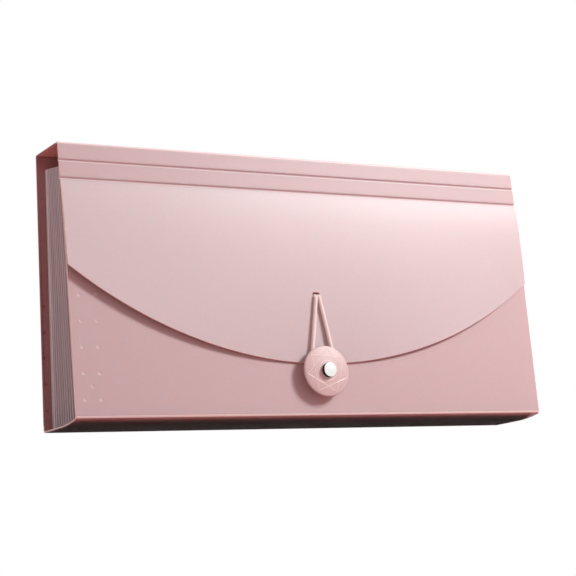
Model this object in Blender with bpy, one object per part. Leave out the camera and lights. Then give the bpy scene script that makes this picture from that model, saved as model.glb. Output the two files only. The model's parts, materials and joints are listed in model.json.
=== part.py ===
"""Expanding file folder with thirteen pleated pockets, standing upright on its base.

The front cover faces -Y, +X is to the right of a person facing it, +Z is up.
The origin is the centre of the base's flat underside.
"""

import math

import bmesh
import bpy
from mathutils import Vector

# Cover: one folded plastic sheet, in the panels that its creases part

COVER_WIDTH = 0.260
FOLDER_HEIGHT = 0.131
BASE_DEPTH = 0.0386
TOP_DEPTH = 0.0246
SHEET = 0.0008
BEND_RADIUS = 0.003
FRONT_COVER_DROP = 0.020
CREASE_SETBACK = 0.0002

# Flap: two narrow strips and a panel with a bowed lower edge

FLAP_STANDOFF = 0.0012
FIRST_CREASE_DROP = 0.0089
SECOND_CREASE_DROP = 0.0175
FLAP_SIDE_SHARE = 0.5458
FLAP_MIDDLE_SHARE = 0.2092
FLAP_CORNER_RADIUS = 0.0015

# Button, its spacer and the rivet that holds them

BUTTON_DROP = 0.0046
BUTTON_RADIUS = 0.0125
BUTTON_THICKNESS = 0.0020
BUTTON_EDGE = 0.0004
BUTTON_LIFT = 0.0043
RIM_WIDTH = 0.0006
RIDGE_WIDTH = 0.0005
RIDGE_RISE = 0.0003
STROKE_RISE = 0.00015
STROKE_SINK = 0.0002
STROKE_STEP = 0.00001
SPACER_RADIUS = 0.0034
SHANK_RADIUS = 0.0016
RIVET_HEAD_RADIUS = 0.0042
RIVET_HEAD_RISE = 0.0015
RIVET_EDGE = 0.0004
RIVET_CROWN = 0.0002
TAIL_RADIUS = 0.0026
TAIL_THICKNESS = 0.0004
WASHER_RADIUS = 0.0040
WASHER_THICKNESS = 0.0005
NOTCH_CLEARANCE = 0.0006

# Elastic loop and the toggle that keeps it behind the flap

CORD_RADIUS = 0.00095
LOOP_HOLE_RISE = 0.0387
LOOP_LEG_OFFSET = 0.0012
LOOP_END_RADIUS = 0.0068
LOOP_BEND_RADIUS = 0.0012
HOLE_CLEARANCE = 0.0003
TOGGLE_MARGIN = 0.0012
TOGGLE_THICKNESS = 0.0007

# Pockets: dividers, pleated film between them and the film's end tabs

DIVIDER_COUNT = 12
DIVIDER_THICKNESS = 0.00035
BELLOWS_INSET = 0.0042
DIVIDER_DROP = 0.0130
INDEX_TAB_DROP = 0.0070
INDEX_TAB_SHARE = 0.82
INDEX_TAB_SLOPE = 0.003
TABS_ACROSS = 6
FILM_THICKNESS = 0.00025
FOLD_THICKNESS = 0.001
PLEAT_DEPTH = 0.009
FOOT_CLEARANCE = 0.0006
END_TAB_THICKNESS = 0.00035
END_TAB_WIDTH = 0.0140
END_TAB_OVERHANG = 0.0035
END_TAB_MARGIN = 0.0010

# Clearances between separate pieces

GAP = 0.0003
SEAT_GAP = 0.0001

# Smoothness of round stretches

ARC_STEPS = 10
EDGE_STEPS = 40
ROUND_STEPS = 48
STAR_POINTS = 7
STAR_SKIP = 2
STAR_TIP_SHARE = 0.90
STAR_START_ANGLE = math.radians(85.0)
HUB_RING_SHARE = 0.39
SHARP_ANGLE = math.radians(30.0)
LOOP_STEPS = 18
BEND_STEPS = 4

# Values worked out from those above

LEAN = math.atan((BASE_DEPTH - TOP_DEPTH) / 2 / FOLDER_HEIGHT)
HALF_WIDTH = COVER_WIDTH / 2
FRONT_COVER_HEIGHT = FOLDER_HEIGHT - FRONT_COVER_DROP
FIRST_CREASE_HEIGHT = FOLDER_HEIGHT - FIRST_CREASE_DROP
SECOND_CREASE_HEIGHT = FOLDER_HEIGHT - SECOND_CREASE_DROP
FLAP_SIDE_HEIGHT = FOLDER_HEIGHT * FLAP_SIDE_SHARE
FLAP_MIDDLE_HEIGHT = FOLDER_HEIGHT * FLAP_MIDDLE_SHARE
BUTTON_HEIGHT = FLAP_MIDDLE_HEIGHT - BUTTON_DROP
LOOP_HOLE_HEIGHT = BUTTON_HEIGHT + LOOP_HOLE_RISE
BELLOWS_HALF_WIDTH = HALF_WIDTH - BELLOWS_INSET
DIVIDER_HEIGHT = FOLDER_HEIGHT - DIVIDER_DROP
INDEX_TAB_TOP = FOLDER_HEIGHT - INDEX_TAB_DROP
FRONT = -1
BACK = 1
BEND_CENTRE = BASE_DEPTH / 2 - BEND_RADIUS * (1 + math.sin(LEAN)) / math.cos(LEAN)
COVER_HINGE_HEIGHT = BEND_RADIUS * (1 + math.sin(LEAN))
FLAP_OUT = FLAP_STANDOFF + SHEET
TOP_CREASE_HEIGHT = FOLDER_HEIGHT - FLAP_OUT * math.sin(LEAN)
BUTTON_FACE = BUTTON_LIFT + BUTTON_THICKNESS
CORD_LEVEL = FLAP_OUT + SEAT_GAP + CORD_RADIUS


def on_cover(side, across, height, out):
    """A point level with a height on a cover's outer face, moved outwards square to that face."""
    y = BASE_DEPTH / 2 - math.tan(LEAN) * height + math.cos(LEAN) * out
    return Vector((across, side * y, height + math.sin(LEAN) * out))


def pocket_wall(share, height):
    """How far back a divider's middle lies, its share running from -1 in front to 1 behind."""
    end = BASE_DEPTH / 2 - SHEET - GAP - END_TAB_THICKNESS + DIVIDER_THICKNESS / 2
    return share * (end - math.tan(LEAN) * height)


def pocket_foot(share):
    """The height of a divider's lower edge, just clear of the base and its rolled edges."""
    beyond = max(0.0, abs(pocket_wall(share, FOOT_CLEARANCE)) - BEND_CENTRE)
    inner_radius = BEND_RADIUS - SHEET
    return BEND_RADIUS - math.sqrt(inner_radius ** 2 - beyond ** 2) + FOOT_CLEARANCE


def divider_share(number):
    return 2 * number / (DIVIDER_COUNT + 1) - 1


def make_material(name, colour, roughness, metallic=0.0):
    material = bpy.data.materials.new(name)
    material.use_nodes = True
    shader = material.node_tree.nodes["Principled BSDF"]
    shader.inputs["Base Color"].default_value = (*colour, 1.0)
    shader.inputs["Roughness"].default_value = roughness
    shader.inputs["Metallic"].default_value = metallic
    return material


def finish(name, bm, origin, material):
    """Turns a bmesh in world coordinates into an object whose origin is the given point."""
    bmesh.ops.recalc_face_normals(bm, faces=bm.faces)
    bmesh.ops.translate(bm, verts=bm.verts, vec=-origin)
    mesh = bpy.data.meshes.new(name)
    bm.to_mesh(mesh)
    bm.free()
    mesh.materials.append(material)
    piece = bpy.data.objects.new(name, mesh)
    piece.location = origin
    bpy.context.scene.collection.objects.link(piece)
    return piece


def plate(name, loops, place, inner, outer, origin, material):
    """A flat plate from outlines (across, height), the first outer and the rest holes."""
    bm = bmesh.new()
    edges = []
    for loop in loops:
        verts = [bm.verts.new(place(across, height, inner)) for across, height in loop]
        edges += [bm.edges.new((verts[i - 1], verts[i])) for i in range(len(verts))]
    filled = bmesh.ops.triangle_fill(bm, use_beauty=True, use_dissolve=True, edges=edges)
    faces = [item for item in filled["geom"] if isinstance(item, bmesh.types.BMFace)]
    raised = bmesh.ops.extrude_face_region(bm, geom=faces, use_keep_orig=True)
    lifted = [item for item in raised["geom"] if isinstance(item, bmesh.types.BMVert)]
    step = place(0.0, 0.0, outer) - place(0.0, 0.0, inner)
    bmesh.ops.translate(bm, verts=lifted, vec=step)
    return finish(name, bm, origin, material)


def loft(name, sections, origin, material, warped=False):
    """A closed body through rings of points, capped at both ends, split up where it is warped."""
    bm = bmesh.new()
    rings = [[bm.verts.new(point) for point in section] for section in sections]
    for lower, upper in zip(rings, rings[1:]):
        for i in range(len(lower)):
            bm.faces.new((lower[i - 1], lower[i], upper[i], upper[i - 1]))
    bm.faces.new(rings[0])
    bm.faces.new(rings[-1])
    if warped:
        bmesh.ops.triangulate(bm, faces=bm.faces)
    return finish(name, bm, origin, material)


def across_folder(name, profile, origin, material):
    """A panel whose (y, z) profile runs the full width of the cover."""
    sections = [[Vector((x, y, z)) for y, z in profile] for x in (-HALF_WIDTH, HALF_WIDTH)]
    return loft(name, sections, origin, material)


def turned(name, profile, origin, material):
    """A body of revolution about the button's axis, from (radius, out) points."""
    bm = bmesh.new()
    rings = []
    for step in range(ROUND_STEPS):
        angle = 2 * math.pi * step / ROUND_STEPS
        ring = []
        for radius, out in profile:
            ring.append(bm.verts.new(button_place(radius * math.cos(angle), radius * math.sin(angle), out)))
        rings.append(ring)
    for index in range(ROUND_STEPS):
        here = rings[index - 1]
        there = rings[index]
        for i in range(len(profile)):
            bm.faces.new((here[i - 1], here[i], there[i], there[i - 1]))
    bmesh.ops.remove_doubles(bm, verts=bm.verts, dist=SEAT_GAP / ROUND_STEPS)
    piece = finish(name, bm, origin, material)
    piece.data.shade_smooth()
    piece.data.set_sharp_from_angle(angle=SHARP_ANGLE)
    return piece


def circle(centre_x, centre_z, radius, start, end, steps):
    angles = [start + (end - start) * i / steps for i in range(steps + 1)]
    return [(centre_x + radius * math.cos(a), centre_z + radius * math.sin(a)) for a in angles]


def rounded(corners, radius, steps):
    """An outline with each of its corners replaced by an arc of one radius."""
    outline = []
    for i, corner in enumerate(corners):
        before = Vector(corners[i - 1])
        here = Vector(corner)
        after = Vector(corners[(i + 1) % len(corners)])
        to_before = (before - here).normalized()
        to_after = (after - here).normalized()
        half_angle = to_before.angle(to_after) / 2
        reach = radius / math.tan(half_angle)
        centre = here + (to_before + to_after).normalized() * radius / math.sin(half_angle)
        first = here + to_before * reach - centre
        last = here + to_after * reach - centre
        start = math.atan2(first.y, first.x)
        sweep = math.atan2(first.x * last.y - first.y * last.x, first.dot(last))
        outline += circle(centre.x, centre.y, radius, start, start + sweep, steps)
    return outline


def button_place(across, up, out):
    """A point measured from the button's centre on the front cover."""
    foot = on_cover(FRONT, across, BUTTON_HEIGHT, out)
    return foot + Vector((0.0, math.sin(LEAN), math.cos(LEAN))) * up


def front_place(across, height, out):
    return on_cover(FRONT, across, height, out)


def back_place(across, height, out):
    return on_cover(BACK, across, height, out)


# Cover panels


def bottom_panel(material):
    """The base between the covers, with both its edges rolled up into them."""
    outer = []
    inner = []
    for side in (FRONT, BACK):
        turn = math.pi / 2 + LEAN - CREASE_SETBACK / BEND_RADIUS
        angles = [turn * i / ARC_STEPS for i in range(ARC_STEPS + 1)]
        if side == FRONT:
            angles.reverse()
        for angle in angles:
            for ring, radius in ((outer, BEND_RADIUS), (inner, BEND_RADIUS - SHEET)):
                y = side * (BEND_CENTRE + radius * math.sin(angle))
                ring.append((y, BEND_RADIUS - radius * math.cos(angle)))
    profile = outer + inner[::-1]
    return across_folder("bottom_panel", profile, Vector((0.0, 0.0, 0.0)), material)


def mitre(corner, along, other):
    """The outer and inner ends of a panel where it meets another panel at a crease."""
    bisector = along + other
    depth = SHEET / abs(along.cross(other))
    outer = corner + along * CREASE_SETBACK
    return outer, outer + bisector * depth


def panel_ends(start, end, before, after):
    """A panel's profile between two creases, mitred to the directions of its neighbours."""
    along = (end - start).normalized()
    start_outer, start_inner = mitre(start, along, before)
    end_outer, end_inner = mitre(end, -along, after)
    return [tuple(start_outer), tuple(end_outer), tuple(end_inner), tuple(start_inner)]


def yz(point):
    return Vector((point.y, point.z))


def top_panel(material):
    rear = yz(on_cover(BACK, 0.0, FOLDER_HEIGHT, 0.0))
    front = yz(on_cover(FRONT, 0.0, TOP_CREASE_HEIGHT, FLAP_OUT))
    down_back = Vector((math.sin(LEAN), -math.cos(LEAN)))
    down_front = Vector((-math.sin(LEAN), -math.cos(LEAN)))
    profile = panel_ends(rear, front, down_back, down_front)
    origin = on_cover(BACK, 0.0, FOLDER_HEIGHT, 0.0)
    return across_folder("top_panel", profile, origin, material)


def back_cover(material):
    top = on_cover(BACK, 0.0, FOLDER_HEIGHT, 0.0)
    hinge = on_cover(BACK, 0.0, COVER_HINGE_HEIGHT, 0.0)
    down = Vector((math.sin(LEAN), -math.cos(LEAN)))
    inwards = Vector((-math.cos(LEAN), -math.sin(LEAN)))
    top_outer, top_inner = mitre(yz(top), down, Vector((-1.0, 0.0)))
    low_outer = yz(hinge) - down * CREASE_SETBACK
    low_inner = low_outer + inwards * SHEET
    profile = [tuple(top_outer), tuple(low_outer), tuple(low_inner), tuple(top_inner)]
    return across_folder("back_cover", profile, hinge, material)


def front_cover(material):
    """The front cover, a little shorter than the dividers, with a hole for the rivet."""
    low = COVER_HINGE_HEIGHT + CREASE_SETBACK
    corners = [
        (-HALF_WIDTH, low),
        (HALF_WIDTH, low),
        (HALF_WIDTH, FRONT_COVER_HEIGHT),
        (-HALF_WIDTH, FRONT_COVER_HEIGHT),
    ]
    upper = rounded(corners, FLAP_CORNER_RADIUS, BEND_STEPS)
    outline = corners[:2] + [point for point in upper if point[1] > FRONT_COVER_HEIGHT / 2]
    hole = circle(0.0, BUTTON_HEIGHT, SHANK_RADIUS + SEAT_GAP, 0.0, 2 * math.pi, ROUND_STEPS // 2)[:-1]
    hinge = on_cover(FRONT, 0.0, COVER_HINGE_HEIGHT, 0.0)
    return plate("front_cover", [outline, hole], front_place, -SHEET, 0.0, hinge, material)


def flap_strip(name, upper, lower, material):
    """One of the two narrow panels between the flap's creases."""
    start = yz(on_cover(FRONT, 0.0, upper, FLAP_OUT))
    end = yz(on_cover(FRONT, 0.0, lower, FLAP_OUT))
    along = (end - start).normalized()
    inwards = Vector((math.cos(LEAN), -math.sin(LEAN)))
    if upper == TOP_CREASE_HEIGHT:
        start_outer, start_inner = mitre(start, along, Vector((1.0, 0.0)))
    else:
        start_outer = start + along * CREASE_SETBACK
        start_inner = start_outer + inwards * SHEET
    end_outer = end - along * CREASE_SETBACK
    end_inner = end_outer + inwards * SHEET
    profile = [tuple(start_outer), tuple(end_outer), tuple(end_inner), tuple(start_inner)]
    origin = on_cover(FRONT, 0.0, upper, FLAP_OUT)
    return across_folder(name, profile, origin, material)


def slot(centre_z, half_length, radius):
    """A hole with round ends, lying across the flap."""
    right = circle(half_length, centre_z, radius, -math.pi / 2, math.pi / 2, ARC_STEPS)
    left = circle(-half_length, centre_z, radius, math.pi / 2, 3 * math.pi / 2, ARC_STEPS)
    return right + left


def flap_panel(material):
    """The flap: straight sides, a bowed lower edge and a notch that lets it pass the button."""
    sag = FLAP_SIDE_HEIGHT - FLAP_MIDDLE_HEIGHT
    bow_radius = (HALF_WIDTH ** 2 + sag ** 2) / (2 * sag)
    bow_centre = FLAP_MIDDLE_HEIGHT + bow_radius
    notch_radius = BUTTON_RADIUS + NOTCH_CLEARANCE
    notch_rise = bow_centre - BUTTON_HEIGHT
    notch_z = (bow_radius ** 2 - notch_radius ** 2 + notch_rise ** 2) / (2 * notch_rise)
    notch_half = math.sqrt(bow_radius ** 2 - notch_z ** 2)
    notch_angle = math.asin((notch_rise - notch_z) / notch_radius)
    tip = math.asin((HALF_WIDTH - FLAP_CORNER_RADIUS) / bow_radius)
    near = math.asin(notch_half / bow_radius)
    down = -math.pi / 2
    left = circle(0.0, bow_centre, bow_radius, down - tip, down - near, EDGE_STEPS)
    notch = circle(0.0, BUTTON_HEIGHT, notch_radius, math.pi - notch_angle, notch_angle, EDGE_STEPS)
    right = circle(0.0, bow_centre, bow_radius, down + near, down + tip, EDGE_STEPS)
    upper = SECOND_CREASE_HEIGHT - CREASE_SETBACK
    corner_height = left[0][1] + FLAP_CORNER_RADIUS
    outline = [(-HALF_WIDTH, upper), (-HALF_WIDTH, corner_height)]
    outline += left + notch[1:-1] + right
    outline += [(HALF_WIDTH, corner_height), (HALF_WIDTH, upper)]
    hole = slot(LOOP_HOLE_HEIGHT, LOOP_LEG_OFFSET, CORD_RADIUS + HOLE_CLEARANCE)
    origin = on_cover(FRONT, 0.0, SECOND_CREASE_HEIGHT, FLAP_OUT)
    return plate("flap_panel", [outline, hole], front_place, FLAP_STANDOFF, FLAP_OUT, origin, material)


# Button and rivet


def button_disc(material):
    """A turned disc with a raised rim, a ring at its hub and a seven-pointed star between."""
    bore = SHANK_RADIUS + SEAT_GAP
    face = BUTTON_FACE
    raised = face + RIDGE_RISE
    hub_inner = RIVET_HEAD_RADIUS + GAP
    hub_outer = BUTTON_RADIUS * HUB_RING_SHARE + RIDGE_WIDTH
    profile = [
        (bore, BUTTON_LIFT),
        (BUTTON_RADIUS - BUTTON_EDGE, BUTTON_LIFT),
        (BUTTON_RADIUS, BUTTON_LIFT + BUTTON_EDGE),
        (BUTTON_RADIUS, raised - BUTTON_EDGE),
        (BUTTON_RADIUS - BUTTON_EDGE, raised),
        (BUTTON_RADIUS - RIM_WIDTH, raised),
        (BUTTON_RADIUS - RIM_WIDTH, face),
        (hub_outer, face),
        (hub_outer, raised),
        (hub_inner, raised),
        (hub_inner, face),
        (bore, face),
    ]
    origin = on_cover(FRONT, 0.0, BUTTON_HEIGHT, BUTTON_LIFT)
    disc = turned("button_disc", profile, origin, material)
    for number in range(STAR_POINTS):
        ridge = star_ridge(number, origin, material)
        union = disc.modifiers.new(ridge.name, "BOOLEAN")
        union.operation = "UNION"
        union.solver = "EXACT"
        union.object = ridge
    return disc


def star_ridge(number, origin, material):
    """One straight stroke of the star, between two points two places apart on its circle."""
    reach = BUTTON_RADIUS * STAR_TIP_SHARE
    turn = 2 * math.pi / STAR_POINTS
    first = STAR_START_ANGLE + number * turn
    last = first + STAR_SKIP * turn
    start = Vector((math.cos(first), math.sin(first))) * reach
    end = Vector((math.cos(last), math.sin(last))) * reach
    along = (end - start).normalized()
    across = Vector((-along.y, along.x)) * RIDGE_WIDTH / 2
    corners = [start - across, end - across, end + across, start + across]
    step = number * STROKE_STEP
    levels = (BUTTON_FACE - STROKE_SINK - step, BUTTON_FACE + STROKE_RISE + step)
    sections = [[button_place(p.x, p.y, level) for p in corners] for level in levels]
    ridge = loft(f"star_ridge_{number + 1}", sections, origin, material)
    ridge.hide_render = True
    ridge.display_type = "WIRE"
    return ridge


def button_spacer(material):
    """A ring that holds the button clear of the cover, where the elastic hooks round it."""
    bore = SHANK_RADIUS + SEAT_GAP
    low = SEAT_GAP
    high = BUTTON_LIFT - SEAT_GAP
    profile = [(bore, low), (SPACER_RADIUS, low), (SPACER_RADIUS, high), (bore, high)]
    origin = on_cover(FRONT, 0.0, BUTTON_HEIGHT, 0.0)
    return turned("button_spacer", profile, origin, material)


def button_rivet(material):
    """The rivet: a low round head, a shank through button, spacer and cover, and a clinched tail."""
    seat = BUTTON_FACE + SEAT_GAP
    washer_back = -SHEET - SEAT_GAP - WASHER_THICKNESS
    tail = washer_back - SEAT_GAP
    profile = [(0.0, tail - TAIL_THICKNESS), (TAIL_RADIUS, tail - TAIL_THICKNESS), (TAIL_RADIUS, tail)]
    profile += [(SHANK_RADIUS, tail), (SHANK_RADIUS, seat), (RIVET_HEAD_RADIUS, seat)]
    shoulder = seat + RIVET_HEAD_RISE - RIVET_CROWN - RIVET_EDGE
    profile += circle(RIVET_HEAD_RADIUS - RIVET_EDGE, shoulder, RIVET_EDGE, 0.0, math.pi / 2, BEND_STEPS)
    profile.append((RIVET_HEAD_RADIUS / 2, seat + RIVET_HEAD_RISE - RIVET_CROWN / 4))
    profile.append((0.0, seat + RIVET_HEAD_RISE))
    origin = on_cover(FRONT, 0.0, BUTTON_HEIGHT, 0.0)
    return turned_solid("button_rivet", profile, origin, material)


def turned_solid(name, profile, origin, material):
    """A body of revolution whose profile starts and ends on the axis."""
    bm = bmesh.new()
    low = bm.verts.new(button_place(0.0, 0.0, profile[0][1]))
    high = bm.verts.new(button_place(0.0, 0.0, profile[-1][1]))
    rings = []
    for step in range(ROUND_STEPS):
        angle = 2 * math.pi * step / ROUND_STEPS
        ring = []
        for radius, out in profile[1:-1]:
            ring.append(bm.verts.new(button_place(radius * math.cos(angle), radius * math.sin(angle), out)))
        rings.append(ring)
    for index in range(ROUND_STEPS):
        here = rings[index - 1]
        there = rings[index]
        bm.faces.new((low, here[0], there[0]))
        for i in range(1, len(here)):
            bm.faces.new((here[i - 1], here[i], there[i], there[i - 1]))
        bm.faces.new((here[-1], high, there[-1]))
    piece = finish(name, bm, origin, material)
    piece.data.shade_smooth()
    piece.data.set_sharp_from_angle(angle=SHARP_ANGLE)
    return piece


def rivet_washer(material):
    """The washer under the rivet's clinched tail, inside the first pocket."""
    bore = SHANK_RADIUS + SEAT_GAP
    near = -SHEET - SEAT_GAP
    far = near - WASHER_THICKNESS
    profile = [(bore, far), (WASHER_RADIUS, far), (WASHER_RADIUS, near), (bore, near)]
    origin = on_cover(FRONT, 0.0, BUTTON_HEIGHT, 0.0)
    return turned("rivet_washer", profile, origin, material)


# Elastic loop


def loop_route():
    """The loop's centre line: out of the hole, round the spacer under the button, and back."""
    end_centre = BUTTON_HEIGHT - SPACER_RADIUS - CORD_RADIUS - SEAT_GAP + LOOP_END_RADIUS
    spread = LOOP_HOLE_HEIGHT - CORD_RADIUS - LOOP_BEND_RADIUS - end_centre
    distance = math.hypot(spread, LOOP_LEG_OFFSET)
    wrap = math.asin(LOOP_END_RADIUS / distance) - math.atan2(LOOP_LEG_OFFSET, spread)
    low_level = FLAP_STANDOFF + SEAT_GAP
    bend = min(LOOP_BEND_RADIUS, CORD_LEVEL - low_level)
    half = [(LOOP_LEG_OFFSET, LOOP_HOLE_HEIGHT, low_level)]
    for step in range(BEND_STEPS + 1):
        angle = math.pi / 2 * step / BEND_STEPS
        height = LOOP_HOLE_HEIGHT - bend + bend * math.cos(angle)
        half.append((LOOP_LEG_OFFSET, height, CORD_LEVEL - bend + bend * math.sin(angle)))
    for step in range(LOOP_STEPS + 1):
        angle = wrap + (-math.pi / 2 - wrap) * step / LOOP_STEPS
        x = LOOP_END_RADIUS * math.cos(angle)
        half.append((x, end_centre + LOOP_END_RADIUS * math.sin(angle), CORD_LEVEL))
    other = [(-x, height, level) for x, height, level in reversed(half[:-1])]
    return half + other


def elastic_loop(material):
    origin = on_cover(FRONT, 0.0, LOOP_HOLE_HEIGHT, CORD_LEVEL)
    curve = bpy.data.curves.new("elastic_loop", "CURVE")
    curve.dimensions = "3D"
    curve.bevel_depth = CORD_RADIUS
    curve.bevel_resolution = 2
    curve.use_fill_caps = True
    route = loop_route()
    spline = curve.splines.new("POLY")
    spline.points.add(len(route) - 1)
    for point, (across, height, level) in zip(spline.points, route):
        place = on_cover(FRONT, across, height, level) - origin
        point.co = (*place, 1.0)
    curve.materials.append(material)
    loop = bpy.data.objects.new("elastic_loop", curve)
    loop.location = origin
    bpy.context.scene.collection.objects.link(loop)
    return loop


def loop_toggle(material):
    """The flat toggle behind the flap that the elastic's two ends are held by."""
    near = GAP
    outline = slot(LOOP_HOLE_HEIGHT, LOOP_LEG_OFFSET, CORD_RADIUS + TOGGLE_MARGIN)
    origin = on_cover(FRONT, 0.0, LOOP_HOLE_HEIGHT, near)
    return plate("loop_toggle", [outline], front_place, near, near + TOGGLE_THICKNESS, origin, material)


# Pockets


def divider(number, material):
    """A divider sheet with its index tab, stepping across from one divider to the next."""
    share = divider_share(number)
    foot = pocket_foot(share)
    place_in_row = (number - 1) % TABS_ACROSS
    pitch = 2 * BELLOWS_HALF_WIDTH / TABS_ACROSS
    middle = pitch * (place_in_row + 0.5) - BELLOWS_HALF_WIDTH
    half_tab = pitch * INDEX_TAB_SHARE / 2
    outline = [
        (-BELLOWS_HALF_WIDTH, foot),
        (BELLOWS_HALF_WIDTH, foot),
        (BELLOWS_HALF_WIDTH, DIVIDER_HEIGHT),
        (middle + half_tab, DIVIDER_HEIGHT),
        (middle + half_tab - INDEX_TAB_SLOPE, INDEX_TAB_TOP),
        (middle - half_tab + INDEX_TAB_SLOPE, INDEX_TAB_TOP),
        (middle - half_tab, DIVIDER_HEIGHT),
        (-BELLOWS_HALF_WIDTH, DIVIDER_HEIGHT),
    ]

    def place(across, height, out):
        return Vector((across, pocket_wall(share, height) + out, height))

    half = DIVIDER_THICKNESS / 2
    origin = place(0.0, foot, 0.0)
    return plate(f"divider_{number:02d}", [outline], place, -half, half, origin, material)


def pocket_gusset(number, material):
    """The pleated film of one pocket: a V of film down one side, under the pocket and up the other."""
    first = divider_share(number - 1)
    last = divider_share(number)
    middle = (first + last) / 2
    inset = DIVIDER_THICKNESS / 2 + GAP
    feet = {share: pocket_foot(share) for share in (first, last)}
    valley_foot = (feet[first] + feet[last]) / 2

    def vertex(share, offset, x, height):
        return Vector((x, pocket_wall(share, height) + offset, height))

    def section(side, top):
        """Six corners of the V at an upright side, at its top end or at its mitre with the bottom."""
        edge = side * BELLOWS_HALF_WIDTH
        fold = side * (BELLOWS_HALF_WIDTH - PLEAT_DEPTH)
        inner = side * (BELLOWS_HALF_WIDTH - PLEAT_DEPTH + FOLD_THICKNESS)
        heights = {share: top if top else feet[share] for share in (first, last)}
        fold_height = top if top else valley_foot + PLEAT_DEPTH
        inner_height = top if top else valley_foot + PLEAT_DEPTH - FOLD_THICKNESS
        return [
            vertex(first, inset, edge, heights[first]),
            vertex(middle, 0.0, fold, fold_height),
            vertex(last, -inset, edge, heights[last]),
            vertex(last, -inset - FILM_THICKNESS, edge, heights[last]),
            vertex(middle, 0.0, inner, inner_height),
            vertex(first, inset + FILM_THICKNESS, edge, heights[first]),
        ]

    sections = [
        section(FRONT, INDEX_TAB_TOP),
        section(FRONT, None),
        section(BACK, None),
        section(BACK, INDEX_TAB_TOP),
    ]
    origin = vertex(middle, 0.0, 0.0, valley_foot)
    return loft(f"pocket_gusset_{number:02d}", sections, origin, material, warped=True)


def end_tab(name, side, hand, place, material):
    """The film's flat end, welded down one edge of a cover."""
    outer = BELLOWS_HALF_WIDTH + END_TAB_OVERHANG
    inner = outer - END_TAB_WIDTH
    foot = COVER_HINGE_HEIGHT + END_TAB_MARGIN
    top = FRONT_COVER_HEIGHT - END_TAB_MARGIN
    outline = [
        (hand * outer, foot),
        (hand * outer, top),
        (hand * inner, top),
        (hand * inner, foot),
    ]
    near = -SHEET - SEAT_GAP
    origin = on_cover(side, 0.0, COVER_HINGE_HEIGHT, 0.0)
    return plate(name, [outline], place, near - END_TAB_THICKNESS, near, origin, material)


def build():
    for item in list(bpy.data.objects):
        bpy.data.objects.remove(item, do_unlink=True)
    pink_sheet = (0.72, 0.53, 0.54)
    cover_sheet = make_material("cover_sheet", pink_sheet, 0.45)
    divider_sheet = make_material("divider_sheet", (0.60, 0.36, 0.38), 0.45)
    film = make_material("gusset_film", (0.42, 0.34, 0.34), 0.30)
    button_plastic = make_material("button_plastic", (0.66, 0.44, 0.43), 0.30)
    cord = make_material("elastic_cord", (0.85, 0.66, 0.62), 0.75)
    nickel = make_material("nickel", (0.80, 0.80, 0.80), 0.15, 1.0)

    bottom_panel(cover_sheet)
    back_cover(cover_sheet)
    front_cover(cover_sheet)
    top_panel(cover_sheet)
    flap_strip("flap_strip_upper", TOP_CREASE_HEIGHT, FIRST_CREASE_HEIGHT, cover_sheet)
    flap_strip("flap_strip_lower", FIRST_CREASE_HEIGHT, SECOND_CREASE_HEIGHT, cover_sheet)
    flap_panel(cover_sheet)

    button_disc(button_plastic)
    button_spacer(button_plastic)
    button_rivet(nickel)
    rivet_washer(nickel)

    elastic_loop(cord)
    loop_toggle(button_plastic)

    for number in range(1, DIVIDER_COUNT + 1):
        divider(number, divider_sheet)
    for number in range(1, DIVIDER_COUNT + 2):
        pocket_gusset(number, film)
    for side, side_name, place in ((FRONT, "front", front_place), (BACK, "back", back_place)):
        for hand, hand_name in ((-1, "left"), (1, "right")):
            end_tab(f"end_tab_{side_name}_{hand_name}", side, hand, place, film)


build()
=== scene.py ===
# %% [markdown]
# # The looks of an expanding file folder
#
# The folder is a small expanding file: one long sheet of frosted polypropylene, folded into
# a base, two covers, a top and a flap, with a pleated film down each side that lets thirteen
# pockets open like a fan. A cord of elastic from the flap hooks round a button on the front.
#
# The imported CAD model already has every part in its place, and its joints. This script loads
# it as a fixed frame and dresses it: the pieces take their places from its boxes and pivots.

import json
import math

import bmesh
import bpy
from mathutils import Matrix, Vector


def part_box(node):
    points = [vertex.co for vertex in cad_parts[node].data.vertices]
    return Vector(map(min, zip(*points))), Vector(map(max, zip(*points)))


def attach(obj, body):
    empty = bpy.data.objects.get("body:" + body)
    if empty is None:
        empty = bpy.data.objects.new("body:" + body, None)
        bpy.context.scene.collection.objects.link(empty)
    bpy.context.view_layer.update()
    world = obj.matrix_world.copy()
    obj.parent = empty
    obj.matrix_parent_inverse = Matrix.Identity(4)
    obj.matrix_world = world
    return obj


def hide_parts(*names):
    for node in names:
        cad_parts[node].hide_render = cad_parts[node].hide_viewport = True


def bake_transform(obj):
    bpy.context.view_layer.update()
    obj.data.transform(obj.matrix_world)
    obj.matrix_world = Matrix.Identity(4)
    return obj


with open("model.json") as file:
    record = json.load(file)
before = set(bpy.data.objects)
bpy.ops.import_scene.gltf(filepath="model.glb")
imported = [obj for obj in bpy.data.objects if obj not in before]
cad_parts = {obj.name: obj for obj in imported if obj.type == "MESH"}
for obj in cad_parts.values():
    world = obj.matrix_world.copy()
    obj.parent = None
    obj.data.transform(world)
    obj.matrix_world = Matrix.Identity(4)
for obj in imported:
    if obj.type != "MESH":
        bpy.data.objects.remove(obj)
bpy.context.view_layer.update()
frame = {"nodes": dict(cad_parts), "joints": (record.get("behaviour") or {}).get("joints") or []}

mm = 0.001
same_place = 1e-6
pivots = {joint["name"]: Vector(joint["pos_m"]) for joint in frame["joints"] if "pos_m" in joint}


# %% [markdown]
# ## Where the covers are
#
# Both covers lean inwards a little, because the base is deeper than the top. A piece on a
# cover is placed by how far across it is, how high, and how far out from the cover's face.
# Working this out once from the pivots keeps the pieces on the CAD part when a size changes.

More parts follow.
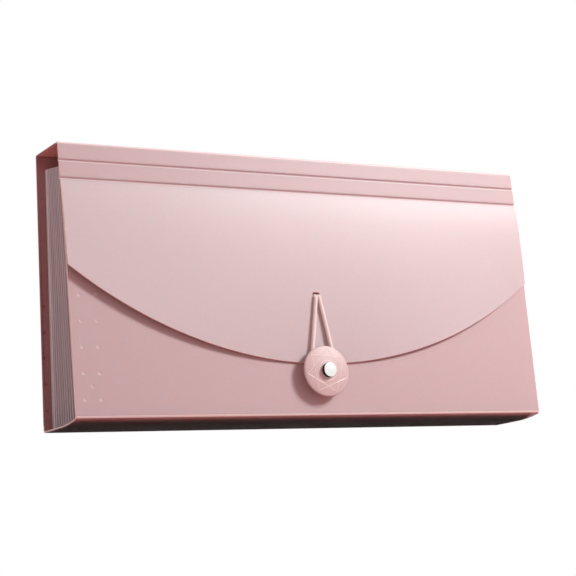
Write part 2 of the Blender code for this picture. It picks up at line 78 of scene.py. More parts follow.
# %% A place on a cover
rear_fold = pivots["top_panel_hinge"]
front_fold = pivots["flap_lift"]
rear_hinge = pivots["back_cover_hinge"]
front_hinge = pivots["front_cover_hinge"]
half_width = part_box("top_panel")[1].x
folder_height = rear_fold.z
lean = math.atan2(rear_hinge.y - rear_fold.y, rear_fold.z - rear_hinge.z)
half_base = rear_fold.y + folder_height * math.tan(lean)
front_outwards = Vector((0.0, -math.cos(lean), math.sin(lean)))
back_outwards = Vector((0.0, math.cos(lean), math.sin(lean)))
FRONT = -1
BACK = 1


def on_cover(side, across, height, out):
    y = half_base - math.tan(lean) * height + math.cos(lean) * out
    return Vector((across, side * y, height + math.sin(lean) * out))


print(f"covers lean {math.degrees(lean):.2f} degrees, base {2 * half_base / mm:.1f} mm deep")

# %% [markdown]
# ## Colours and nodes
#
# Colours are easiest to choose as the hex codes of a colour picker, but a shader works in
# linear light, so one function turns the first into the second. A material is a short list
# of nodes. One function adds a node, sets its values and links its sockets: an input is given
# by name or number, and a value that is an output socket becomes a link.


# %% Colours and nodes
def linear(code):
    channels = [int(code[i:i + 2], 16) / 255 for i in (1, 3, 5)]
    low = [value / 12.92 for value in channels]
    high = [((value + 0.055) / 1.055) ** 2.4 for value in channels]
    return [low[i] if channels[i] <= 0.04045 else high[i] for i in range(3)] + [1.0]


def add(tree, kind, inputs=None, **settings):
    node = tree.nodes.new("ShaderNode" + kind)
    for name, value in settings.items():
        setattr(node, name, value)
    for name, value in (inputs or {}).items():
        if isinstance(value, bpy.types.NodeSocket):
            tree.links.new(value, node.inputs[name])
        else:
            node.inputs[name].default_value = value
    return node


def mixed(tree, share, low, high):
    colours = {0: share, 6: linear(low), 7: linear(high)}
    return add(tree, "Mix", colours, data_type="RGBA").outputs[2]


def ranged(tree, value, low, high):
    return add(tree, "MapRange", {"Value": value, "To Min": low, "To Max": high}).outputs[0]


def bump(tree, height, strength, distance, **inputs):
    inputs = {"Height": height, "Strength": strength, "Distance": distance, **inputs}
    return add(tree, "Bump", inputs).outputs[0]


def new_material(name):
    material = bpy.data.materials.new(name)
    material.use_nodes = True
    material.node_tree.nodes.clear()
    return material, material.node_tree


def finish_material(material, shader):
    add(material.node_tree, "OutputMaterial", {"Surface": shader.outputs[0]})
    return material


print("mid grey #808080 is", [round(value, 3) for value in linear("#808080")])

# %% [markdown]
# ## Frosted polypropylene sheet
#
# The cover is polypropylene sheet, 0.8 mm thick, extruded between a polished and a
# sand-blasted roller. The blasted side shows as a very fine matt grain. It breaks up the
# highlight, so the sheet has a soft sheen and no mirror image. Extruded sheet is never quite
# flat either, so a slow wave in the bump bends the light a little across the flap.
#
# Polypropylene's IOR is 1.49, and the grain scatters part of the mirror light, so the
# specular level is lower than usual. The sheet is translucent: light comes out again up to
# 2 mm from where it went in, the red part furthest, which is subsurface scattering.
#
# The same sheet looks different where it was worked, and some of its copies are painted light
# or shade. Its inner side is the polished one, painted darker and redder as painted shade.
# The top's inner side is a painted glow, for light coming through the top. A cut edge is
# paler than its face, brightened further as a painted highlight, and painted dark as painted
# shade on the back and top, which lie in shade. A stretched fold whitens, and that paler band
# also stands for a painted highlight. A weld melts the grain away. The real grain is about
# 0.15 mm, too fine for this picture: it is drawn at 0.5 mm.

# %% The sheet's materials
def sheet_material(name, colour, deep_colour, roughness, grain=0.5 * mm, wave=70 * mm):
    material, tree = new_material(name)
    place = add(tree, "TexCoord").outputs["Object"]
    grain_inputs = {"Vector": place, "Scale": 1 / grain, "Detail": 2.0, "Roughness": 0.6}
    fine = add(tree, "TexNoise", grain_inputs).outputs[0]
    slow = add(tree, "TexNoise", {"Vector": place, "Scale": 1 / wave, "Detail": 1.0}).outputs[0]
    tint = add(tree, "MapRange", {"Value": fine, "From Min": 0.3, "From Max": 0.7}).outputs[0]
    grainy = bump(tree, fine, 0.22, 0.05 * mm)
    return finish_material(material, add(tree, "BsdfPrincipled", {
        "Base Color": mixed(tree, tint, deep_colour, colour),
        "Roughness": ranged(tree, fine, roughness - 0.05, roughness + 0.07),
        "IOR": 1.49,
        "Specular IOR Level": 0.35,
        "Subsurface Weight": 0.35,
        "Subsurface Radius": (1.0, 0.35, 0.32),
        "Subsurface Scale": 2.0 * mm,
        "Normal": bump(tree, slow, 0.5, 0.8 * mm, Normal=grainy),
    }))


frosted_sheet = sheet_material("Frosted polypropylene sheet", "#c7aaad", "#c2a4a7", 0.42)
# Painted light: the flap's copy of the sheet is paler, standing for light that the cover behind sends
# back through it.
flap_face_painted_paler = sheet_material("Frosted polypropylene sheet, painted paler on the flap", "#cebabd", "#c9b4b7", 0.40)
# Cut edges: paler than the face, as cut dyed plastic is, and brightened further as a painted
# highlight.
cut_edge_with_highlight = sheet_material("Polypropylene, cut edge", "#f0cbca", "#eac3c2", 0.40)
# Painted shade: a dark copy of the cut edge, for the back's and top's rims.
edge_in_painted_shade = sheet_material("Polypropylene, cut edge, painted shade", "#a26668", "#9a5f61", 0.40)
# Painted shade: the polished side's darker, redder colour stands for the shade inside the folder and
# under the base.
polished_sheet_painted_shade = sheet_material("Polished polypropylene sheet, painted shade", "#b68888", "#ae8080", 0.32)
# Painted light: a glowing copy of the polished side for the top's inner face, standing for light
# coming through the sheet.
painted_glow_sheet = sheet_material("Polypropylene sheet, painted glow from the top", "#f4c4bf", "#edbcb7", 0.32)
# A stretched fold's own paleness, which also serves as a painted highlight where light falls on folds
# and creases.
whitened_sheet_with_highlight = sheet_material("Polypropylene, whitened, painted highlight", "#efd4d4", "#ebcece", 0.36)
weld_point = sheet_material("Polypropylene, weld point", "#d0b3b6", "#ccaeb1", 0.38)
divider_sheet = sheet_material("Polypropylene sheet, divider", "#c68d90", "#be8588", 0.45)
cover_materials = [frosted_sheet, cut_edge_with_highlight, polished_sheet_painted_shade, whitened_sheet_with_highlight]
shaded_materials = [frosted_sheet, edge_in_painted_shade, polished_sheet_painted_shade, whitened_sheet_with_highlight]
top_materials = [frosted_sheet, edge_in_painted_shade, painted_glow_sheet, whitened_sheet_with_highlight]
# The base's outer face, its underside, takes the polished colour as painted shade.
base_materials = [polished_sheet_painted_shade, cut_edge_with_highlight, polished_sheet_painted_shade, whitened_sheet_with_highlight]
welded_materials = [frosted_sheet, cut_edge_with_highlight, polished_sheet_painted_shade, weld_point]
flap_materials = [flap_face_painted_paler, cut_edge_with_highlight, polished_sheet_painted_shade, whitened_sheet_with_highlight]
divider_materials = [divider_sheet, cut_edge_with_highlight, divider_sheet]
print("sheet materials:", ", ".join(material.name for material in flap_materials))

# %% [markdown]
# ## Frosted film
#
# The pleats are a much thinner film of the same plastic, without the pink dye. It lets light
# through, as transmission with some roughness does, and looks grey where many folds lie
# behind each other. The rearmost folds are painted whiter, as painted light for the light
# they catch. Drawn lines from the pressing run down the film's length, 0.6 mm apart or so.
# Where it is welded flat to a cover it is nearly clear, and a melted point in it is less so.

# %% The film's materials
def film_material(name, colour, deep_colour, line_pitch=0.6 * mm):
    material, tree = new_material(name)
    place = add(tree, "TexCoord").outputs["Object"]
    line_scale = (1 / line_pitch, 1 / line_pitch, 6.0)
    scaled = add(tree, "Mapping", {"Vector": place, "Scale": line_scale}).outputs[0]
    lines = add(tree, "TexNoise", {"Vector": scaled, "Scale": 1.0, "Detail": 1.0}).outputs[0]
    return finish_material(material, add(tree, "BsdfPrincipled", {
        "Base Color": mixed(tree, lines, deep_colour, colour),
        "Roughness": 0.38,
        "IOR": 1.49,
        "Transmission Weight": 0.25,
        "Normal": bump(tree, lines, 0.3, 0.1 * mm),
    }))


def flat_film_material(name, colour, clearness):
    material, tree = new_material(name)
    look = {"Base Color": linear(colour), "Roughness": 0.3, "IOR": 1.49}
    film = add(tree, "BsdfPrincipled", look).outputs[0]
    clear = add(tree, "BsdfTransparent").outputs[0]
    return finish_material(material, add(tree, "MixShader", {0: clearness, 1: film, 2: clear}))


frosted_film = film_material("Frosted polypropylene film", "#f2e0e4", "#bfaab0")
# Painted light: a whiter copy of the film for the rearmost folds, which catch the light.
film_painted_light = film_material("Frosted polypropylene film, painted light", "#fff4f5", "#e6d5d9")
flat_film = flat_film_material("Polypropylene film, welded flat", "#d2a5a7", 0.88)
melted_film = flat_film_material("Polypropylene film, melted", "#bf7679", 0.55)
print("film materials:", frosted_film.name, "/", flat_film.name, "/", melted_film.name)

# %% [markdown]
# ## Moulded ABS, woven elastic and nickel plate
#
# The button is moulded in ABS (IOR 1.54) with a satin face from a lightly blasted mould, and
# smoother raised lines, painted paler than the face as a painted highlight. The elastic is
# rubber yarn in a woven polyester cover, whose braid is a criss-cross of small bumps about
# 0.5 mm apart, running along the cord: the tube carries its own coordinates, in millimetres
# along it and round it. The rivet is bright nickel plate over steel: a metal, with its colour
# in its reflection and only hair-fine marks in it. The side of its head is painted nearly
# black, a painted dark reflection standing for the dark side of the room that it mirrors.

# %% The button's, cord's and rivet's materials
def moulded_material(name, colour, roughness, grain=0.35 * mm):
    material, tree = new_material(name)
    place = add(tree, "TexCoord").outputs["Object"]
    fine = add(tree, "TexNoise", {"Vector": place, "Scale": 1 / grain, "Detail": 2.0}).outputs[0]
    return finish_material(material, add(tree, "BsdfPrincipled", {
        "Base Color": linear(colour),
        "Roughness": ranged(tree, fine, roughness - 0.06, roughness + 0.06),
        "IOR": 1.54,
        "Normal": bump(tree, fine, 0.15, 0.03 * mm),
    }))


def braid_material(name, colour, shade, pitch=0.5):
    material, tree = new_material(name)
    along = add(tree, "UVMap", uv_map="braid_mm").outputs[0]
    slanting = {"Vector": along, "Rotation": (0.0, 0.0, math.radians(45.0))}
    turned_place = add(tree, "Mapping", slanting).outputs[0]
    squares = {"Color1": (1, 1, 1, 1), "Color2": (0, 0, 0, 1)}
    weave = add(tree, "TexChecker", {"Vector": turned_place, "Scale": 1 / pitch, **squares})
    yarn = add(tree, "TexNoise", {"Vector": along, "Scale": 4.0, "Detail": 2.0})
    parts = {0: weave.outputs["Fac"], 1: yarn.outputs[0]}
    height = add(tree, "Math", parts, operation="MULTIPLY").outputs[0]
    return finish_material(material, add(tree, "BsdfPrincipled", {
        "Base Color": mixed(tree, height, shade, colour),
        "Roughness": 0.75,
        "IOR": 1.5,
        "Sheen Weight": 0.3,
        "Normal": bump(tree, height, 0.5, 0.08 * mm),
    }))


def plated_material(name, colour, roughness, mark=0.4 * mm):
    material, tree = new_material(name)
    place = add(tree, "TexCoord").outputs["Object"]
    marks = add(tree, "TexNoise", {"Vector": place, "Scale": 1 / mark, "Detail": 3.0}).outputs[0]
    return finish_material(material, add(tree, "BsdfPrincipled", {
        "Base Color": linear(colour),
        "Roughness": ranged(tree, marks, roughness - 0.04, roughness + 0.06),
        "Metallic": 1.0,
    }))


moulded_abs = moulded_material("Moulded ABS, button", "#ceaeae", 0.46)
# Painted highlight: the raised lines are paler than the face they are moulded in.
raised_abs_painted_highlight = moulded_material("Moulded ABS, raised line, painted highlight", "#e8cdcc", 0.30)
woven_elastic = braid_material("Woven elastic", "#fcebe9", "#ecd6d4")
nickel_plate = plated_material("Nickel plate", "#edecea", 0.14)
# Painted reflection: the rivet's side is coloured near-black, standing for the dark room it mirrors.
nickel_painted_dark_reflection = plated_material("Nickel, painted dark reflection", "#2c2526", 0.30)
print("small-part materials:", moulded_abs.name, "/", woven_elastic.name, "/", nickel_plate.name)

# %% [markdown]
# ## Making a sheet
#
# Nearly everything here is sheet: an open surface with a thickness and a cut edge. So one
# function does it for any surface. It takes the outer face as a bmesh, copies it inwards by
# the thickness, and closes the rim with a small chamfer, because a die leaves the edge
# slightly rounded and that catches the light. An edge where the sheet goes on into the next
# piece is named as joined and gets no chamfer, so the seam doesn't show.
#
# The material slots are the outer face, the rim, the inner face and marked places, in that
# order. Most rims are a cut through dyed plastic, which is paler than its face; that colour is
# brightened further as a painted highlight. The rims of the back and the top get a dark copy
# as painted shade.

# %% From a surface to a sheet
FACE, RIM, INNER, MARKED = range(4)
edge_round = 0.16 * mm
sharp_angle = 28.0
dimple_angle = 8.0


def bridge(bm, rows, closed=False):
    """The faces between each row of points and the next."""
    faces = []
    for first, last in zip(rows, rows[1:]):
        for i in range(0 if closed else 1, len(first)):
            faces.append(bm.faces.new((first[i - 1], first[i], last[i], last[i - 1])))
    return faces


def save(name, bm, materials, smooth_to=sharp_angle):
    bmesh.ops.recalc_face_normals(bm, faces=bm.faces)
    mesh = bpy.data.meshes.new(name)
    bm.to_mesh(mesh)
    bm.free()
    for material in materials:
        mesh.materials.append(material)
    mesh.shade_smooth()
    mesh.set_sharp_from_angle(angle=math.radians(smooth_to))
    piece = bpy.data.objects.new(name, mesh)
    bpy.context.scene.collection.objects.link(piece)
    return piece


def settle(piece, body, node=None):
    """Rides a piece on its body, and hides the CAD node it stands in for."""
    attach(piece, body)
    if node:
        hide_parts(node)


def outward(face_pairs, joined):
    """Which way a rim vertex moves: the mean of its cut edges' outward directions."""
    total = Vector((0.0, 0.0, 0.0))
    for edge, face in face_pairs:
        if joined and joined(edge.verts[0].co) and joined(edge.verts[1].co):
            continue
        along = (edge.verts[1].co - edge.verts[0].co).normalized()
        away = along.cross(face.normal)
        middle = (edge.verts[0].co + edge.verts[1].co) / 2
        if away.dot(middle - face.calc_center_median()) < 0:
            away = -away
        total += away
    return total.normalized()


def make_sheet(name, bm, thickness, materials, joined=None, chamfer=edge_round, smooth_to=sharp_angle):
    """Gives the open surface in bm a thickness inwards, against its normals, and a rim."""
    bm.normal_update()
    outer = list(bm.verts)
    faces = list(bm.faces)
    inner = {vertex: bm.verts.new(vertex.co - vertex.normal * thickness) for vertex in outer}
    border = [(edge, edge.link_faces[0]) for edge in bm.edges if len(edge.link_faces) == 1]
    pairs = {}
    for edge, face in border:
        for vertex in edge.verts:
            pairs.setdefault(vertex, []).append((edge, face))
    rims = {}
    for vertex, around in pairs.items():
        shift = outward(around, joined) * chamfer
        near = vertex.co + shift - vertex.normal * chamfer
        far = vertex.co + shift - vertex.normal * (thickness - chamfer)
        rims[vertex] = (vertex, bm.verts.new(near), bm.verts.new(far), inner[vertex])
    for face in faces:
        copy = bm.faces.new([inner[vertex] for vertex in reversed(face.verts)])
        copy.material_index = INNER
    for edge, face in border:
        first, last = (rims[vertex] for vertex in edge.verts)
        for level in range(3):
            wall = bm.faces.new((first[level], last[level], last[level + 1], first[level + 1]))
            wall.material_index = RIM
    return save(name, bm, materials, smooth_to)


print(f"cut edges are rounded by {edge_round / mm:.2f} mm")

# %% [markdown]
# ## Arcs and corners
#
# Punched and folded sheet has few kinds of line: straight ones, and arcs where a tool was
# rounded. So a few functions draw every outline and profile: an arc between two angles, the
# arc that rounds off a corner, a box with rounded corners, and the points along a way.


# %% Outlines
def arc(centre_x, centre_y, radius, first, last, steps=6):
    angles = [math.radians(first + (last - first) * step / steps) for step in range(steps + 1)]
    return [(centre_x + radius * math.cos(a), centre_y + radius * math.sin(a)) for a in angles]


def circle(centre_x, centre_y, radius, steps):
    return arc(centre_x, centre_y, radius, 0, 360, steps)[:-1]


def fillet(corner, towards_first, towards_last, radius, steps):
    half_angle = towards_first.angle(towards_last) / 2
    reach = radius / math.tan(half_angle)
    centre = corner + (towards_first + towards_last).normalized() * radius / math.sin(half_angle)
    first = corner + towards_first * reach - centre
    last = corner + towards_last * reach - centre
    start = math.degrees(math.atan2(first.y, first.x))
    sweep = math.degrees(math.atan2(first.x * last.y - first.y * last.x, first.dot(last)))
    return arc(centre.x, centre.y, radius, start, start + sweep, steps)


def rounded_box(low, high, radius, lower_radius=0.0):
    """An outline with rounded upper corners, and rounded lower ones where asked."""
    outline = []
    corners = (
        (high[0], low[1], -1, 1, lower_radius, -90),
        (high[0], high[1], -1, -1, radius, 0),
        (low[0], high[1], 1, -1, radius, 90),
        (low[0], low[1], 1, 1, lower_radius, 180),
    )
    for x, z, step_x, step_z, bend, first in corners:
        if bend:
            outline += arc(x + step_x * bend, z + step_z * bend, bend, first, first + 90)
        else:
            outline.append((x, z))
    return outline


def between(first, last, steps):
    """The points that part a way into even steps, without its two ends."""
    shares = [step / steps for step in range(1, steps)]
    return [tuple(a + (b - a) * share for a, b in zip(first, last)) for share in shares]


print("a quarter round is drawn in", len(arc(0.0, 0.0, 1.0, 0, 90)) - 1, "steps")

# %% [markdown]
# ## The folded cover
#
# The cover is one sheet, scored and folded. Each panel is a row of stations down the sheet,
# a point and nothing else, swept the full width. The stations are dense where the sheet
# bends and sparse where it is flat. The panels keep their shape and ride on their bodies, and
# between each two there is a narrow fold piece, which stays where it is built.

# %% Sweeping stations across the width
sheet = 0.8 * mm
cover_reach = half_width - edge_round


def side_view(point):
    return Vector((point.y, point.z))


def swept(name, stations, materials=cover_materials, whitened=()):
    """A sheet through (y, z) stations, from one side of the folder to the other."""
    bm = bmesh.new()
    rows = [[bm.verts.new((x, y, z)) for x in (-cover_reach, cover_reach)] for y, z in stations]
    for index, face in enumerate(bridge(bm, list(zip(*rows)))):
        # The whitened faces are a fold's own paleness and also a painted highlight, put where light
        # falls on the fold.
        face.material_index = MARKED if index in whitened else FACE
    ends = [Vector(stations[0]), Vector(stations[-1])]

    def joined(point):
        return min((side_view(point) - end).length for end in ends) < same_place

    print(f"{name}: {len(stations)} stations")
    return make_sheet(name, bm, sheet, materials, joined)


# %% [markdown]
# ## Base and its folds
#
# The base is folded tightly at both sides. Towards the front it bows up a little, by under
# 2 mm, so that the front fold hangs clear of the table: the photograph shows the bow in the
# line of the base's left edge. A fold in polypropylene turns pale on its outside, where the
# plastic is stretched, so the upper half of the front fold is whitened; that band is also a
# painted highlight, put where light falls on the fold. The underside is painted shade: it
# gets the polished side's darker, redder colour because it lies in the dark. The sheet goes
# just past each hinge before the fold piece takes over, so no seam lies in a fold.

# %% The base panel
past_hinge = 0.3 * mm
fold_length = 2.4 * mm
base_fold_radius = 1.6 * mm
base_fold_steps = 10
front_rise = 1.9 * mm
rise_reach = 18 * mm
bow_steps = 12
down_front = Vector((-math.sin(lean), -math.cos(lean)))
down_back = Vector((math.sin(lean), -math.cos(lean)))
forwards = Vector((-1.0, 0.0))


def base_rise(y):
    """How far the base is bowed up, at a place between the front and the back."""
    past = max(0.0, rise_reach - half_base - y) / rise_reach
    return front_rise * past ** 2


front_edge = Vector((math.tan(lean) * front_rise - half_base, front_rise))
back_edge = Vector((half_base, 0.0))
slope_back = Vector((rise_reach, -2 * front_rise)).normalized()
front_bend = fillet(front_edge, -down_front, slope_back, base_fold_radius, base_fold_steps)
back_bend = fillet(back_edge, forwards, -down_back, base_fold_radius, base_fold_steps)
bow_start = front_bend[-1][0]
bow_step = (rise_reach - half_base - bow_start) / bow_steps
bow_places = [bow_start + bow_step * step for step in range(1, bow_steps + 1)]
bow = [(y, base_rise(y)) for y in bow_places]
front_fold_low = side_view(front_hinge) - down_front * past_hinge
back_fold_low = side_view(rear_hinge) - down_back * past_hinge
base_stations = [front_fold_low, *front_bend, *bow, *back_bend, back_fold_low]
base_sheet = swept("base_sheet", base_stations, base_materials, range(1, base_fold_steps // 2 + 1))
settle(base_sheet, "base", "bottom_panel")

# %% [markdown]
# ## The folds that bend
#
# A fold starts and ends exactly where the panels on either side of it do, so no gap shows
# between them. The two folds at the top are tight, with a radius of 0.9 mm, and the front one
# whitens below, a band that is also a painted highlight. The two creases across the flap are
# round grooves pressed into the sheet, 1.4 mm wide and 0.55 mm deep, whose lower edge is
# whitened and painted as a highlight where the light falls.

# %% Folds at the base
fold_steps = 8


def straight(start, end, steps):
    return [start.lerp(end, step / steps) for step in range(steps + 1)]


def bending(piece, first_body, last_body, start, end):
    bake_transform(piece)


front_fold_high = side_view(front_hinge) - down_front * (past_hinge + fold_length)
back_fold_high = side_view(rear_hinge) - down_back * (past_hinge + fold_length)
front_base_fold = swept("front_base_fold", straight(front_fold_high, front_fold_low, fold_steps))
bending(front_base_fold, "base", "front", front_fold_low, front_fold_high)
back_rise = straight(back_fold_low, back_fold_high, fold_steps)
back_base_fold = swept("back_base_fold", back_rise, shaded_materials)
bending(back_base_fold, "base", "back", back_fold_low, back_fold_high)

# %% Top folds
fold_radius = 0.9 * mm
fold_reach = 2.2 * mm
arc_steps = 8


def top_fold(name, corner, ways, bodies, materials, whitened=()):
    """A tight fold at a corner, between two ways to go from it, and where it starts and ends."""
    start, end = (corner + way * fold_reach for way in ways)
    bend = fillet(corner, *ways, fold_radius, arc_steps)
    bending(swept(name, [start, *bend, end], materials, whitened), *bodies, start, end)
    return start, end


rear_ways = (down_back, forwards)
rear_start, rear_end = top_fold(
    "rear_top_fold", side_view(rear_fold), rear_ways, ("back", "top"), shaded_materials
)
front_ways = (-forwards, down_front)
front_start, front_end = top_fold(
    "front_top_fold",
    side_view(front_fold),
    front_ways,
    ("top", "upper_strip"),
    cover_materials,
    range(arc_steps // 2, arc_steps + 1),
)

# %% Pressed creases
groove_half = 0.7 * mm
groove_depth = 0.55 * mm
crease_reach = 1.1 * mm
groove_steps = 12
to_crease_edge = down_front * crease_reach
first_centre = side_view(pivots["first_crease"])
second_centre = side_view(pivots["second_crease"])


def crease(name, centre, first_body, last_body):
    inwards = Vector((math.cos(lean), -math.sin(lean)))
    stations = [centre - to_crease_edge]
    for step in range(groove_steps + 1):
        place = (2 * step / groove_steps - 1) * groove_half
        depth = groove_depth * (0.5 + 0.5 * math.cos(math.pi * place / groove_half))
        stations.append(centre + down_front * place + inwards * depth)
    stations.append(centre + to_crease_edge)
    piece = swept(name, stations, whitened=range(groove_steps - 1, groove_steps + 1))
    bending(piece, first_body, last_body, stations[0], stations[-1])


crease("first_crease_fold", first_centre, "upper_strip", "lower_strip")
crease("second_crease_fold", second_centre, "lower_strip", "flap")

# %% [markdown]
# ## Panels between the folds
#
# The back, the top and the two narrow strips are flat sheet from one fold to the next: each
# is narrow, or held flat by the pockets. The top's inner side is a painted glow, standing for
# light that comes through the top.

# %% Back, top and strips
def panel(name, start, end, body, node, materials=cover_materials):
    settle(swept(name, straight(start, end, 2), materials), body, node)


upper_end = first_centre - to_crease_edge
lower_start = first_centre + to_crease_edge
lower_end = second_centre - to_crease_edge
panel("back_sheet", back_fold_high, rear_start, "back", "back_cover", shaded_materials)
panel("top_sheet", rear_end, front_start, "top", "top_panel", top_materials)
panel("upper_strip_sheet", front_end, upper_end, "upper_strip", "flap_strip_upper")
panel("lower_strip_sheet", lower_start, lower_end, "lower_strip", "flap_strip_lower")

# %% [markdown]
# ## The flap
#
# The flap hangs from the second crease, a little askew, and ends in one wide bow, an arc of
# about 210 mm radius. It is held shut only at its middle, so the middle is pressed against
# the cover and the ends stand away from it, the left one more: that is why its shadow is
# wide there and thin in the middle. Under the crease it bulges, which brings light to its
# top. Flat plates can't show this. So the flap is a grid, with a column of points for each
# step across and a row for each step down, and each point is moved in or out.

# %% The flap's outline
flap_side_share = 0.5458
flap_middle_share = 0.2092
flap_side_height = folder_height * flap_side_share
flap_middle_height = folder_height * flap_middle_share
flap_skew = 0.8 * mm
sag = flap_side_height - flap_middle_height
bow_radius = (half_width ** 2 + sag ** 2) / (2 * sag)
flap_out = (-front_fold.y - half_base + math.tan(lean) * front_fold.z) * math.cos(lean)
flap_top = second_centre.y - flap_out * math.sin(lean) - crease_reach * math.cos(lean)
tip_radius = 0.5 * mm
tip_start = half_width - tip_radius
flap_bulge = 1.5 * mm
bulge_reach = 11 * mm
middle_press = 0.85 * mm
press_reach = 70 * mm
left_tip_lift = 0.4 * mm
right_tip_lift = -1.1 * mm
flap_columns = 72
flap_rows = 20


def bow_height(across):
    """How high the flap's lower edge is, with its tips rounded."""
    x = abs(across)
    height = flap_middle_height + bow_radius - math.sqrt(bow_radius ** 2 - x ** 2)
    height -= flap_skew * across / half_width
    if x > tip_start:
        share = min(1.0, (x - tip_start) / (tip_radius - edge_round))
        height += tip_radius * (1 - math.sqrt(1 - share ** 2))
    return height


def flap_shift(across, height):
    """How far the flap stands out from its flat place."""
    drop = (flap_top - height) / (flap_top - flap_middle_height)
    column = (flap_top - height) / (flap_top - bow_height(across))
    bulge = flap_bulge * (1 - math.exp((height - flap_top) / bulge_reach))
    press = (middle_press + bulge) * drop ** 3 * math.exp(-((across / press_reach) ** 2))
    tip_lift = left_tip_lift if across < 0 else right_tip_lift
    lift = tip_lift * (abs(across) / half_width) ** 3 * column ** 2
    return bulge + lift - press


def on_flap(across, height, out=0.0):
    return on_cover(FRONT, across, height, flap_out + out + flap_shift(across, height))


print(f"flap bow radius {bow_radius / mm:.0f} mm, flap face {flap_out / mm:.1f} mm out")

# %% The flap's sheet
tip_shares = (0.0, 0.5, 0.87, 1.0)
tip_places = [tip_start + share * (tip_radius - edge_round) for share in tip_shares]
flap_places = [tip_start * (2 * i / flap_columns - 1) for i in range(1, flap_columns)]
flap_places = [-x for x in reversed(tip_places)] + flap_places + tip_places

bm = bmesh.new()
columns = []
for across in flap_places:
    low = bow_height(across)
    heights = [flap_top + (low - flap_top) * row / flap_rows for row in range(flap_rows + 1)]
    columns.append([bm.verts.new(on_flap(across, height)) for height in heights])
bridge(bm, columns)


def at_crease(point):
    return abs(point.z - on_flap(0.0, flap_top).z) < same_place


flap_sheet = make_sheet("flap_sheet", bm, sheet, flap_materials, at_crease)
print("flap grid:", len(columns), "columns of", flap_rows + 1)

# %% [markdown]
# The elastic comes through a punched slot. A boolean cuts it, because the slot's round ends
# don't follow the grid. The cutter's faces carry the rim's material, so the hole's wall shows
# as a cut edge.

# %% The punched slot
cord_radius = 0.95 * mm
hole_radius = 1.25 * mm
hole_rise = 0.75 * mm
hole_above_button = 37.6 * mm
leg_offset = 0.97 * mm
half_round_steps = 12
button_centre = pivots["button_spin"]
button_height = button_centre.z
hole_height = button_height + hole_above_button

slot_outline = arc(leg_offset, 0.0, hole_radius, -90, 90, half_round_steps)
slot_outline += arc(-leg_offset, 0.0, hole_radius, 90, 270, half_round_steps)
bm = bmesh.new()
rings = []
for out in (-2 * sheet, sheet):
    points = [on_flap(x, hole_height + hole_rise + z, out) for x, z in slot_outline]
    rings.append([bm.verts.new(point) for point in points])
bridge(bm, rings, closed=True)
for ring in rings:
    bm.faces.new(ring)
for face in bm.faces:
    face.material_index = RIM
cutter = save("loop_slot", bm, cover_materials)
hole = flap_sheet.modifiers.new("loop_slot", "BOOLEAN")
hole.operation = "DIFFERENCE"
hole.solver = "EXACT"
hole.object = cutter
graph = bpy.context.evaluated_depsgraph_get()
cut_mesh = bpy.data.meshes.new_from_object(flap_sheet.evaluated_get(graph))
flap_sheet.modifiers.clear()
cut_mesh.set_sharp_from_angle(angle=math.radians(sharp_angle))
flap_sheet.data = cut_mesh
bpy.data.objects.remove(cutter, do_unlink=True)
settle(flap_sheet, "flap", "flap_panel")
print("flap with its slot:", len(cut_mesh.polygons), "faces")

# %% [markdown]
# ## The front cover and its weld points
#
# The pleated film is joined to each cover by rows of ultrasonic spot welds, 12 mm apart, with
# one more between the lowest two. Each is a shallow dimple 2 mm across and 0.1 mm deep, and
# paler, because the plastic whitens where it melts. Bump alone would vanish in side light,
# so the dimples are modelled: the face has round holes, and each holds a small pan. The
# front cover has them at its left end, where they show, and isn't quite square to its fold.

# %% Dimpled sheets
weld_radius = 1.0 * mm
weld_floor = 0.6 * mm
weld_depth = 0.10 * mm
weld_pitch = 12.1 * mm
weld_first = 10.6 * mm
weld_rows = 5
column_pitch = 7.9 * mm
weld_steps = 16
outer_columns = {FRONT: 124.9 * mm, BACK: 128.6 * mm}


def weld_places(side):
    outer = outer_columns[side]
    heights = [weld_first + row * weld_pitch for row in range(weld_rows)]
    places = [(x, height) for height in heights for x in (-outer, column_pitch - outer)]
    return [*places, (column_pitch / 2 - outer, weld_first + weld_pitch / 2)]


def outline_surface(outline, place, outwards, dimples=()):
    """An open flat surface from an outline, with a pan for each dimple."""
    bm = bmesh.new()
    loops = [[bm.verts.new(place(x, z, 0.0)) for x, z in outline]]
    pans = []
    for centre_x, centre_z in dimples:
        rings = []
        for radius, out in ((weld_radius, 0.0), (weld_floor, -weld_depth)):
            points = circle(centre_x, centre_z, radius, weld_steps)
            rings.append([bm.verts.new(place(x, z, out)) for x, z in points])
        loops.append(rings[0])
        pans.append(rings)
    edges = []
    for loop in loops:
        edges += [bm.edges.new((loop[i - 1], loop[i])) for i in range(len(loop))]
    bmesh.ops.triangle_fill(bm, use_beauty=True, use_dissolve=False, edges=edges)
    for rings in pans:
        for face in (*bridge(bm, rings, closed=True), bm.faces.new(rings[1])):
            face.material_index = MARKED
    bm.normal_update()
    for face in bm.faces:
        if face.normal.dot(outwards) < 0:
            face.normal_flip()
    return bm


# %% The front cover
corner_radius = 1.5 * mm
front_skew = 1.1 * mm
front_low = front_fold_high.y
front_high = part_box("front_cover")[1].z - edge_round
front_outline = rounded_box((-cover_reach, front_low), (cover_reach, front_high), corner_radius)
front_outline.insert(1, (cover_reach, flap_side_height))
front_outline.insert(-1, (-cover_reach, flap_side_height))


def skewed(x, z):
    """The front cover leans to the right as it rises, up to where the flap hides its edges."""
    return x + front_skew * min(1.0, (z - front_low) / (flap_side_height - front_low)), z


def on_front(x, z, out):
    return on_cover(FRONT, x, z, out)


def at_front_fold(point):
    return abs(point.z - front_low) < same_place


